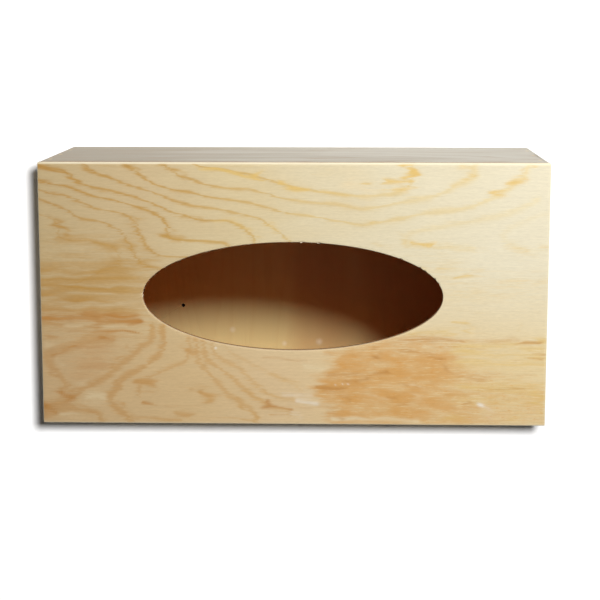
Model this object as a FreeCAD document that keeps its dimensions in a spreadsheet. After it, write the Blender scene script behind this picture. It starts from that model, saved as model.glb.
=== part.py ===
"""A wooden tissue box cover: an oval opening in the top, and a bottom that slides out under the right end.

Millimetres. X runs along the length, Y across, Z up. The origin is on the table, under the middle of the box.
The front is at -Y and the left end at -X.
"""
import FreeCAD, Part
import os

import Sketcher

SIZES = (
    # The box and the plywood that it is made of.
    ("case_length", 260, "outside length, along X"),
    ("case_width", 135.5, "outside width, along Y"),
    ("case_height", 110, "table to the face of the top panel"),
    ("top_thickness", 4, "top panel"),
    ("side_thickness", 6.5, "the two long sides"),
    ("end_thickness", 6.5, "the two ends"),
    ("bottom_thickness", 4, "sliding bottom"),
    ("arris_radius", 1.2, "sanded rounding of the outer edges of the box"),
    # The oval opening in the top, cut by hand a little off the middle.
    ("opening_length", 154, "along X"),
    ("opening_width", 56.2, "along Y"),
    ("opening_to_left", 0.4, "middle of the panel to the middle of the oval, towards the left end"),
    ("opening_to_front", 0.8, "middle of the panel to the middle of the oval, towards the front"),
    ("rim_radius", 0.5, "sanded rounding of the upper edge"),
    # The groove and the bottom that slides in it.
    ("foot_height", 5, "table to the lower lip of the groove"),
    ("groove_depth", 3, "how far the groove goes into the sides and the left end"),
    ("groove_play", 0.6, "height to spare over the bottom in its groove"),
    ("slide_play", 0.5, "room between an edge of the bottom and the groove that it faces"),
    ("notch_radius", 9, "half-round finger notch at the open end of the bottom"),
    ("nail_hole_diameter", 2, "small hole left by a nail in the upper face of the bottom"),
    ("nail_hole_depth", 3, "how deep the nail went, short of the lower face"),
    ("nail_hole_from_left", 63.4, "outside of the left end to the small hole"),
    ("nail_hole_from_front", 45.2, "outside of the front side to the small hole"),
    # The brads that hold the corners.
    ("pins_per_corner", 3, "brads up each corner"),
    ("pin_length", 22, "head and point included"),
    ("pin_diameter", 1.4, "shank"),
    ("pin_head_diameter", 2.2, "head, across"),
    ("pin_head_height", 1, "head, along the brad"),
    ("pin_point_length", 2, "tapered point"),
    ("pin_set", 0.4, "depth of the heads below the face of the side"),
    ("pin_clearance", 0.03, "room all round a brad in its hole"),
    # How far a cut runs past the face that it comes out of.
    ("cut_overrun", 2, "for every cut"),
)

# Lengths that follow from the sheet, as formulas.
HALF_LENGTH = "(sizes.case_length / 2)"
HALF_WIDTH = "(sizes.case_width / 2)"
WALL_HEIGHT = "(sizes.case_height - sizes.top_thickness)"
HALF_END_WIDTH = "(sizes.case_width / 2 - sizes.side_thickness)"
GROOVE_TOP = "(sizes.foot_height + sizes.bottom_thickness + sizes.groove_play)"
GROOVE_STOP = "(sizes.end_thickness - sizes.groove_depth)"
PIN_SPACING = f"(({WALL_HEIGHT} - {GROOVE_TOP}) / sizes.pins_per_corner)"
PIN_HOLE = "(sizes.pin_diameter + 2 * sizes.pin_clearance)"
PIN_HEAD_HOLE = "(sizes.pin_head_diameter + 2 * sizes.pin_clearance)"
PIN_IN_END = "(sizes.pin_set + sizes.pin_length - sizes.side_thickness + sizes.pin_clearance)"
PIN_FROM_MIDDLE = "(sizes.case_length / 2 - sizes.end_thickness / 2)"

doc = FreeCAD.newDocument("tissue_box_cover")
sheet = doc.addObject("Spreadsheet::Sheet", "sizes")


def fill_sheet():
    """One row for each driving dimension: its name, its value and what it measures."""
    for row, (name, value, note) in enumerate(SIZES, start=1):
        sheet.set(f"A{row}", name)
        sheet.set(f"B{row}", str(value))
        sheet.setAlias(f"B{row}", name)
        sheet.set(f"C{row}", note)
    doc.recompute()


def measure(formula):
    """What a formula comes to with the sheet as it stands."""
    return float(sheet.evalExpression(formula))


def pin_count():
    return int(sheet.pins_per_corner)


def pin_height(number):
    """Formula for the height of a brad, counted from 0 at the foot. They stand evenly up the right end."""
    return f"{GROOVE_TOP} + (2 * {number} + 1) * {PIN_SPACING} / 2"


def make_body(label, **place):
    """A body whose placement along x, y and z is tied to formulas."""
    body = doc.addObject("PartDesign::Body", label)
    body.Label = label
    for axis, formula in place.items():
        body.setExpression(f"Placement.Base.{axis}", formula)
    return body


def origin_feature(body, role):
    return next(item for item in body.Origin.OriginFeatures if item.Role == role)


def make_sketch(body, name, role, offset="0"):
    """A sketch on one of the body's own planes, moved along that plane's normal by a formula."""
    sketch = body.newObject("Sketcher::SketchObject", f"{body.Label}_{name}")
    sketch.AttachmentSupport = (origin_feature(body, role), [""])
    sketch.MapMode = "FlatFace"
    sketch.setExpression("AttachmentOffset.Base.z", offset)
    return sketch


def tie(sketch, constraint, formula):
    """Adds a dimension to the sketch and ties it to a formula."""
    index = sketch.addConstraint(constraint)
    sketch.setExpression(f"Constraints[{index}]", formula)


def tie_point(sketch, geometry, point, across, up):
    """Places one point of the sketch by two formulas. The formula "0" puts it on the axis.

    To a sketch, -1 is its X axis, -2 its Y axis, and point 1 of -1 its origin.
    """
    if across == "0":
        sketch.addConstraint(Sketcher.Constraint("PointOnObject", geometry, point, -2))
    else:
        distance = Sketcher.Constraint("DistanceX", -1, 1, geometry, point, measure(across))
        tie(sketch, distance, across)
    if up == "0":
        sketch.addConstraint(Sketcher.Constraint("PointOnObject", geometry, point, -1))
    else:
        distance = Sketcher.Constraint("DistanceY", -1, 1, geometry, point, measure(up))
        tie(sketch, distance, up)


def draw_outline(sketch, corners):
    """A closed outline of straight lines. Each corner is a pair of formulas."""
    points = [FreeCAD.Vector(measure(across), measure(up), 0) for across, up in corners]
    for start, end in zip(points, points[1:] + points[:1]):
        sketch.addGeometry(Part.LineSegment(start, end))
    for index in range(len(corners)):
        following = (index + 1) % len(corners)
        sketch.addConstraint(Sketcher.Constraint("Coincident", index, 2, following, 1))
    for index, (across, up) in enumerate(corners):
        tie_point(sketch, index, 1, across, up)


def draw_rectangle(sketch, left, right, low, high):
    draw_outline(sketch, ((left, low), (right, low), (right, high), (left, high)))


def draw_circle(sketch, across, up, diameter):
    centre = FreeCAD.Vector(measure(across), measure(up), 0)
    circle = Part.Circle(centre, FreeCAD.Vector(0, 0, 1), measure(diameter) / 2)
    index = sketch.addGeometry(circle)
    tie_point(sketch, index, 3, across, up)
    tie(sketch, Sketcher.Constraint("Diameter", index, measure(diameter)), diameter)


def draw_ellipse(sketch, across, up, length, width):
    """An ellipse with its long axis across."""
    centre = FreeCAD.Vector(measure(across), measure(up), 0)
    ellipse = Part.Ellipse(centre, measure(length) / 2, measure(width) / 2)
    oval = sketch.addGeometry(ellipse)
    sketch.exposeInternalGeometry(oval)
    long_axis = oval + 1
    short_axis = oval + 2
    tie_point(sketch, oval, 3, across, up)
    sketch.addConstraint(Sketcher.Constraint("Horizontal", long_axis))
    tie(sketch, Sketcher.Constraint("Distance", long_axis, measure(length)), length)
    tie(sketch, Sketcher.Constraint("Distance", short_axis, measure(width)), width)


def pad(body, sketch, length, reverse=False):
    """Adds the sketch's shape, as thick as the formula says."""
    feature = body.newObject("PartDesign::Pad", f"{sketch.Name}_pad")
    feature.Profile = sketch
    feature.Reversed = reverse
    feature.setExpression("Length", length)
    doc.recompute()


def pocket(body, sketch, length, reverse=False, both_ways=False):
    """Cuts the sketch's shape out, as deep as the formula says, and checks that something was cut."""
    before = body.Shape.Volume
    feature = body.newObject("PartDesign::Pocket", f"{sketch.Name}_cut")
    feature.Profile = sketch
    feature.Reversed = reverse
    if both_ways:
        feature.SideType = "Symmetric"
    feature.setExpression("Length", length)
    doc.recompute()
    if body.Shape.Volume >= before:
        raise RuntimeError(f"{feature.Name} cuts nothing")


def round_edges(body, name, is_chosen, radius):
    """Rounds the edges that is_chosen picks. It sees each edge in the body's own frame."""
    base = body.Tip
    chosen = [f"Edge{number}" for number, edge in enumerate(base.Shape.Edges, start=1) if is_chosen(edge)]
    feature = body.newObject("PartDesign::Fillet", f"{body.Label}_{name}")
    feature.Base = (base, chosen)
    feature.setExpression("Radius", radius)
    doc.recompute()


def make_top_panel():
    """The panel glued over all four walls, with the oval opening and its outer edges sanded round."""
    body = make_body("top_panel", z=WALL_HEIGHT)
    middle = measure("sizes.top_thickness") / 2

    outline = make_sketch(body, "outline", "XY_Plane")
    draw_rectangle(outline, f"-{HALF_LENGTH}", HALF_LENGTH, f"-{HALF_WIDTH}", HALF_WIDTH)
    pad(body, outline, "sizes.top_thickness")
    round_edges(body, "arris", lambda edge: edge.BoundBox.ZMax > middle, "sizes.arris_radius")

    opening = make_sketch(body, "opening", "XY_Plane")
    draw_ellipse(opening, "-sizes.opening_to_left", "-sizes.opening_to_front",
                 "sizes.opening_length", "sizes.opening_width")
    pocket(body, opening, "sizes.top_thickness + sizes.cut_overrun", reverse=True)

    def is_upper_rim(edge):
        return edge.isClosed() and not edge.Degenerated and edge.CenterOfMass.z > middle

    round_edges(body, "rim", is_upper_rim, "sizes.rim_radius")
    return body


def make_front_side():
    """A long wall, its outer face at the front. Its groove is open at the right and stops at the left."""
    body = make_body("front_side", y=f"-{HALF_WIDTH}")
    board = make_sketch(body, "board", "XZ_Plane")
    draw_rectangle(board, f"-{HALF_LENGTH}", HALF_LENGTH, "0", WALL_HEIGHT)
    pad(body, board, "sizes.side_thickness", reverse=True)

    half_height = measure(WALL_HEIGHT) / 2
    half_thickness = measure("sizes.side_thickness") / 2

    def is_outer_corner(edge):
        return edge.BoundBox.ZLength > half_height and edge.CenterOfMass.y < half_thickness

    round_edges(body, "arris", is_outer_corner, "sizes.arris_radius")

    groove = make_sketch(body, "groove", "YZ_Plane", f"{GROOVE_STOP} - {HALF_LENGTH}")
    draw_rectangle(groove, "sizes.side_thickness - sizes.groove_depth",
                   "sizes.side_thickness + sizes.cut_overrun", "sizes.foot_height", GROOVE_TOP)
    pocket(body, groove, "sizes.case_length", reverse=True)

    shanks = make_sketch(body, "pin_holes", "XZ_Plane")
    heads = make_sketch(body, "pin_head_holes", "XZ_Plane")
    for across in (f"-{PIN_FROM_MIDDLE}", PIN_FROM_MIDDLE):
        for number in range(pin_count()):
            draw_circle(shanks, across, pin_height(number), PIN_HOLE)
            draw_circle(heads, across, pin_height(number), PIN_HEAD_HOLE)
    pocket(body, shanks, "sizes.side_thickness + sizes.cut_overrun")
    pocket(body, heads, "sizes.pin_set + sizes.pin_head_height")
    return body


def make_end(label, side, foot):
    """A short wall between the two long ones: side is -1 at the left and 1 at the right."""
    body = make_body(label, x=f"{side} * {HALF_LENGTH}")
    board = make_sketch(body, "board", "YZ_Plane")
    draw_rectangle(board, f"-{HALF_END_WIDTH}", HALF_END_WIDTH, foot, WALL_HEIGHT)
    pad(body, board, "sizes.end_thickness", reverse=side > 0)

    for name, face, is_back in (("front_pin_holes", HALF_END_WIDTH, False),
                                ("back_pin_holes", f"-{HALF_END_WIDTH}", True)):
        holes = make_sketch(body, name, "XZ_Plane", face)
        for number in range(pin_count()):
            draw_circle(holes, f"{-side} * sizes.end_thickness / 2", pin_height(number), PIN_HOLE)
        pocket(body, holes, PIN_IN_END, reverse=is_back)
    return body


def make_left_end():
    """The closed end. It stands on the table, and its groove takes the far edge of the bottom."""
    body = make_end("left_end", -1, "0")
    groove = make_sketch(body, "groove", "XZ_Plane")
    draw_rectangle(groove, GROOVE_STOP, "sizes.end_thickness + sizes.cut_overrun",
                   "sizes.foot_height", GROOVE_TOP)
    pocket(body, groove, "sizes.case_width", both_ways=True)
    return body


def make_right_end():
    """The open end. It stops over the groove, so that the bottom slides out under it."""
    return make_end("right_end", 1, GROOVE_TOP)


def make_sliding_bottom():
    """The panel that runs in the groove, pushed home, with its finger notch and a small hole."""
    body = make_body("sliding_bottom", z="sizes.foot_height")
    half_width = f"({HALF_END_WIDTH} + sizes.groove_depth - sizes.slide_play)"
    panel = make_sketch(body, "panel", "XY_Plane")
    draw_rectangle(panel, f"{GROOVE_STOP} + sizes.slide_play - {HALF_LENGTH}", HALF_LENGTH,
                   f"-{half_width}", half_width)
    pad(body, panel, "sizes.bottom_thickness")

    notch = make_sketch(body, "finger_notch", "XY_Plane")
    draw_circle(notch, HALF_LENGTH, "0", "2 * sizes.notch_radius")
    pocket(body, notch, "sizes.bottom_thickness + sizes.cut_overrun", reverse=True)

    nail_hole = make_sketch(body, "nail_hole", "XY_Plane", "sizes.bottom_thickness")
    draw_circle(nail_hole, f"sizes.nail_hole_from_left - {HALF_LENGTH}",
                f"sizes.nail_hole_from_front - {HALF_WIDTH}", "sizes.nail_hole_diameter")
    pocket(body, nail_hole, "sizes.nail_hole_depth")
    return body


def make_front_left_pins():
    """The brads of one corner, driven through the front side into the left end, heads just below the face."""
    body = make_body("pins_front_left", x=f"-{PIN_FROM_MIDDLE}", y=f"sizes.pin_set - {HALF_WIDTH}",
                     z=pin_height(0))
    head = "sizes.pin_head_diameter / 2"
    shank = "sizes.pin_diameter / 2"
    profile = make_sketch(body, "profile", "XY_Plane")
    draw_outline(profile, (
        ("0", "0"),
        (head, "0"),
        (head, "sizes.pin_head_height"),
        (shank, "sizes.pin_head_height"),
        (shank, "sizes.pin_length - sizes.pin_point_length"),
        ("0", "sizes.pin_length"),
    ))
    pin = body.newObject("PartDesign::Revolution", "pin")
    pin.Profile = profile
    pin.ReferenceAxis = (profile, ["V_Axis"])
    pin.Angle = 360
    doc.recompute()

    row = body.newObject("PartDesign::LinearPattern", "pin_row")
    row.Originals = [pin]
    row.Direction = (origin_feature(body, "Z_Axis"), [""])
    row.Mode = "Spacing"
    row.setExpression("Offset", PIN_SPACING)
    row.Occurrences = pin_count()
    body.Tip = row
    doc.recompute()
    return body


def mirror(source, label, normal):
    """The same piece on the other side of the middle of the box."""
    piece = doc.addObject("Part::Mirroring", label)
    piece.Label = label
    piece.Source = source
    piece.Normal = normal
    doc.recompute()
    return piece


def make_pieces():
    left_right = FreeCAD.Vector(1, 0, 0)
    front_back = FreeCAD.Vector(0, 1, 0)
    front_side = make_front_side()
    front_left = make_front_left_pins()
    front_right = mirror(front_left, "pins_front_right", left_right)
    return [
        make_top_panel(),
        front_side,
        mirror(front_side, "back_side", front_back),
        make_left_end(),
        make_right_end(),
        make_sliding_bottom(),
        front_left,
        front_right,
        mirror(front_left, "pins_back_left", front_back),
        mirror(front_right, "pins_back_right", front_back),
    ]


def check(pieces):
    """Stops if anything in the document failed or any piece is not a sound shape."""
    for item in doc.Objects:
        if "Invalid" in item.State or "Error" in item.State:
            raise RuntimeError(f"{item.Label} failed: {item.State}")
    for piece in pieces:
        if piece.Shape.isNull() or not piece.Shape.isValid():
            raise RuntimeError(f"{piece.Label} has no sound shape")


def write(pieces):
    os.makedirs("parts", exist_ok=True)
    for piece in pieces:
        piece.Shape.exportStep(f"parts/{piece.Label}.step")
        box = piece.Shape.BoundBox
        print(f"{piece.Label}: {len(piece.Shape.Solids)} solids, {piece.Shape.Volume:.0f} mm3,"
              f" x {box.XMin:.1f} to {box.XMax:.1f}, y {box.YMin:.1f} to {box.YMax:.1f},"
              f" z {box.ZMin:.1f} to {box.ZMax:.1f}")


fill_sheet()
all_pieces = make_pieces()
doc.recompute()
check(all_pieces)
write(all_pieces)
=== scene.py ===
"""A wooden tissue box cover: five plywood boards, an oval opening in the top and a bottom that slides out.

Metres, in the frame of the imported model. Sizes and places set out below are in millimetres, apart from the
lamps' and the paper's width.
"""

import math

import bmesh
import bpy
import numpy as np
from mathutils import Matrix, Vector


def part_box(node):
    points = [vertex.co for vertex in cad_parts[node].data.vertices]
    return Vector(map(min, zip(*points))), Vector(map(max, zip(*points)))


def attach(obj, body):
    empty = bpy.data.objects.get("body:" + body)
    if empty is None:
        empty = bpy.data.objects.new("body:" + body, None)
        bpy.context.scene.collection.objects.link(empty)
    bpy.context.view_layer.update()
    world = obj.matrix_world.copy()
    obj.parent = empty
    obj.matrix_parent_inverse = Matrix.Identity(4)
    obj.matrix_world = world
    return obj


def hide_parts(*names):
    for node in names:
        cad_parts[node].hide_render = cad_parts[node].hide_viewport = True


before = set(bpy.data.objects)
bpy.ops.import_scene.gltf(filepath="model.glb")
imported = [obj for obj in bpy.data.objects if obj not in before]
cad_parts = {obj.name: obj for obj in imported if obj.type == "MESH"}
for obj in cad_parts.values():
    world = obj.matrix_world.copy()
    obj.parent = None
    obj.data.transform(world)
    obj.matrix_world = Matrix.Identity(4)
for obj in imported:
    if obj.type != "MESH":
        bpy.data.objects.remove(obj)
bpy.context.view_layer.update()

MM = 0.001

# The oval opening: where its middle lies, its half sizes and the rounding of its upper edge.
OVAL_MIDDLE = (-0.4, -0.8)
OVAL_HALF = (77.0, 28.1)
RIM_RADIUS = 0.3

# Sanding along the top's edges: how round it left them, and how far in it shows pale, on each side. The pale
# band is partly sanded wood and partly a painted highlight of the edges.
BACK_ARRIS = 1.2
ARRIS = 0.5
SANDED_AND_LIT_BACK, SANDED_AND_LIT_RIGHT, SANDED_AND_LIT_LEFT, SANDED_AND_LIT_FRONT = 0.9, 0.6, 0.5, 0.6

# How the top panel's surface is divided, and the thickness of its face ply.
STEPS_ROUND = 1000
STEPS_ACROSS = 60
CORNER_STEPS = 5
FACE_PLY = 1.1

# How far the boards' long edges are eased, and from what length an edge counts as long.
EASED = 0.3
LONG_EDGE = 15

# Growth rings of the top veneer: ring number, how strongly the line shows, its half width and
# points along it.
RING_LINES = (
    (5, 1, 1, ((-48, 66), (-40, 65), (-34, 64.3), (-28, 62.8), (-22, 61.8), (-16, 60), (-10, 58.3),
        (-5, 57), (0, 55.3), (7, 54), (14, 53), (22, 52.2), (32, 51), (42, 51.2), (51, 52.3), (57, 55),
        (59.5, 60), (59.5, 67))),
    (4, 0.85, 1, ((-65, 66.5), (-60, 62.5), (-53, 59.5), (-44, 56.5), (-34, 54.8), (-22, 54.2),
        (-14, 52.3), (-7, 50.2), (0, 48.9), (12, 47.4), (22, 47), (29, 45.5), (36, 44.4), (46, 46),
        (58, 48.4), (70, 50.8), (77, 53.2), (82, 56.7), (88, 59.3), (91.5, 61.5), (91, 66))),
    (3, 0.9, 1, ((-86, 67), (-81, 64), (-75, 59.5), (-69, 56), (-62, 54), (-53, 53), (-44, 50.4),
        (-32, 49), (-22, 47.4), (-12, 44.6), (-4, 42.3), (8, 41), (18, 39), (28, 37.5), (35, 36),
        (46, 38), (58, 40.5), (70, 42.8), (82, 44), (90, 45.5), (98, 48.8), (105, 52.6), (111, 57.5),
        (116, 61), (118.5, 67))),
    (2, 0.85, 1, ((-106, 66.5), (-100, 62.5), (-93, 59.8), (-86, 57), (-77, 54.5), (-68, 51.8),
        (-60, 48.3), (-52, 46), (-40, 44.5), (-28, 42), (-18, 39.8), (-12, 36), (-7, 32), (-2, 28))),
    (1, 0.9, 1, ((-130, 66), (-123, 64.6), (-116, 63.5), (-110, 58.3), (-105, 55.8), (-93, 53.5),
        (-80, 50.2), (-70, 46), (-62, 42.5), (-54, 40.8), (-47, 38.4), (-40, 38.3), (-34, 38.4),
        (-27, 35.5), (-22, 31.5), (-19.5, 27.5))),
    (0, 0.95, 1, ((-130, 58.5), (-124, 56.8), (-114, 55.3), (-108, 53), (-103, 50.8), (-93, 49),
        (-84, 46.5), (-75, 44), (-69, 41), (-65.5, 37.8), (-63.8, 34), (-64.5, 30.8), (-61, 28.6),
        (-54, 28), (-44, 27.7), (-34, 26.4))),
    (-1, 0.8, 1, ((-130, 54), (-124, 51.8), (-117, 51.4), (-108, 47.5), (-100, 44), (-90, 42.5),
        (-84, 40.5), (-80.5, 36.5), (-79, 31.5), (-75.5, 27), (-73, 23), (-69, 20.3), (-62, 19.7),
        (-54, 19.5))),
    (-2, 0.8, 1, ((-130, 49.5), (-122, 46), (-115, 43), (-109, 39.3), (-100, 38), (-93, 35.5),
        (-87, 31), (-83.5, 26), (-81, 20.5), (-78.5, 17), (-73, 14.6), (-67, 13.5))),
    (-3, 0.6, 1, ((-130, 41), (-124, 39.5), (-119.5, 36), (-119.8, 32.5), (-121, 29.8), (-112, 27.6),
        (-105, 28), (-97, 25.8), (-91, 24), (-88.5, 20), (-90, 15.3), (-97, 13), (-103, 9.5), (-110, 6.3),
        (-119, 4.8), (-130, 4.5))),
    (-3, 0.75, 2.6, ((-106, -21.8), (-99, -22.3), (-92.5, -23.7), (-98, -24.7), (-106, -25.7),
        (-115, -28.5), (-124, -30.8), (-127.5, -34), (-125.5, -38), (-121.5, -42), (-119, -46),
        (-118, -50))),
    (-2, 0.9, 2.8, ((-72, -18), (-73, -23), (-79, -28.3), (-86, -34), (-93, -40), (-101, -46),
        (-110, -50.3), (-116, -54), (-122, -57.2), (-130, -59))),
    (-2, 0.85, 2.6, ((-130, -62), (-122, -60), (-115, -58.7), (-108, -61), (-101.5, -62.8),
        (-99.8, -66.5))),
    (-1, 1, 2.8, ((-67, -17), (-67, -23), (-68.5, -30), (-74, -36), (-81, -40.3), (-87.5, -43.7),
        (-90.5, -49), (-94.6, -53), (-95, -56.5), (-91, -60), (-87, -63.5), (-84, -67))),
    (0, 0.75, 2, ((-53, -20), (-53, -27), (-54, -32.5), (-59, -36.3), (-66, -39.5), (-73, -42.5),
        (-78, -45.5), (-80, -50))),
    (1, 0.85, 2.2, ((-49.8, -22), (-49.6, -28), (-48.5, -34), (-44, -40), (-39, -45.5), (-35, -50.5),
        (-30, -55), (-24, -58.5), (-20, -62.3), (-18.5, -67))),
    (2, 0.9, 2, ((-46, -23), (-45.7, -28), (-44.5, -33.5), (-39, -38), (-32, -42.5), (-26, -48.5),
        (-19, -54), (-11, -58.5), (-3, -60.2))),
    (3, 0.75, 1.8, ((-41.5, -25), (-40, -31), (-35, -34.5), (-28, -38), (-22, -44), (-16, -49.8),
        (-8, -53.4), (0, -54.5))),
    (4, 0.5, 1.6, ((-36, -26), (-30, -31.5), (-22, -35.5), (-13, -40), (-5, -44.5), (3, -48))),
    (2, 0.6, 1.2, ((122, 48), (112, 43.8), (103, 40.6), (92, 38.8), (80, 36.4), (70, 34.3), (61, 32.7),
        (56.5, 29.5), (60, 26.3), (68, 25), (78, 25.3), (90, 24.8))),
    (1, 0.4, 1.2, ((130, 43), (121, 40), (112, 36.3), (107, 32.5), (108, 27.8), (114, 24.6), (122, 23.4),
        (130, 25))),
    (3, 0.1, 1, ((62, -19), (75, -18), (90, -18.4), (105, -19.5), (130, -20))),
    (4, 0.15, 1, ((52, -23.4), (65, -22.3), (78, -21.6), (95, -23), (110, -23.6), (130, -25))),
    (5, 0.1, 1, ((16, -29.5), (19, -36), (13, -42), (11, -50), (13.5, -57), (15, -66))),
)

# What the rings come to where no line is drawn, so that none turns up there: ring number, then places.
RING_GUIDES = (
    (-2.6, ((-120, -5), (-100, -3), (-105, -14), (-90, -12), (-124, -14))),
    (-3.5, ((-125, 18), (-110, 18), (-129, -45))),
    (-2.5, ((-110, -38), (-100, -34))),
    (2.4, ((65, 20), (80, 18), (100, 15), (120, 12), (105, 0), (125, 0), (85, 0))),
    (1.6, ((75, 30), (90, 30))),
    (0.6, ((120, 31),)),
    (5.5, ((20, 62), (0, 64), (40, 62), (40, -40), (40, -58), (70, -32), (80, -45), (80, -60), (110, -35),
           (110, -50), (120, -62), (128, -40))),
)

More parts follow.
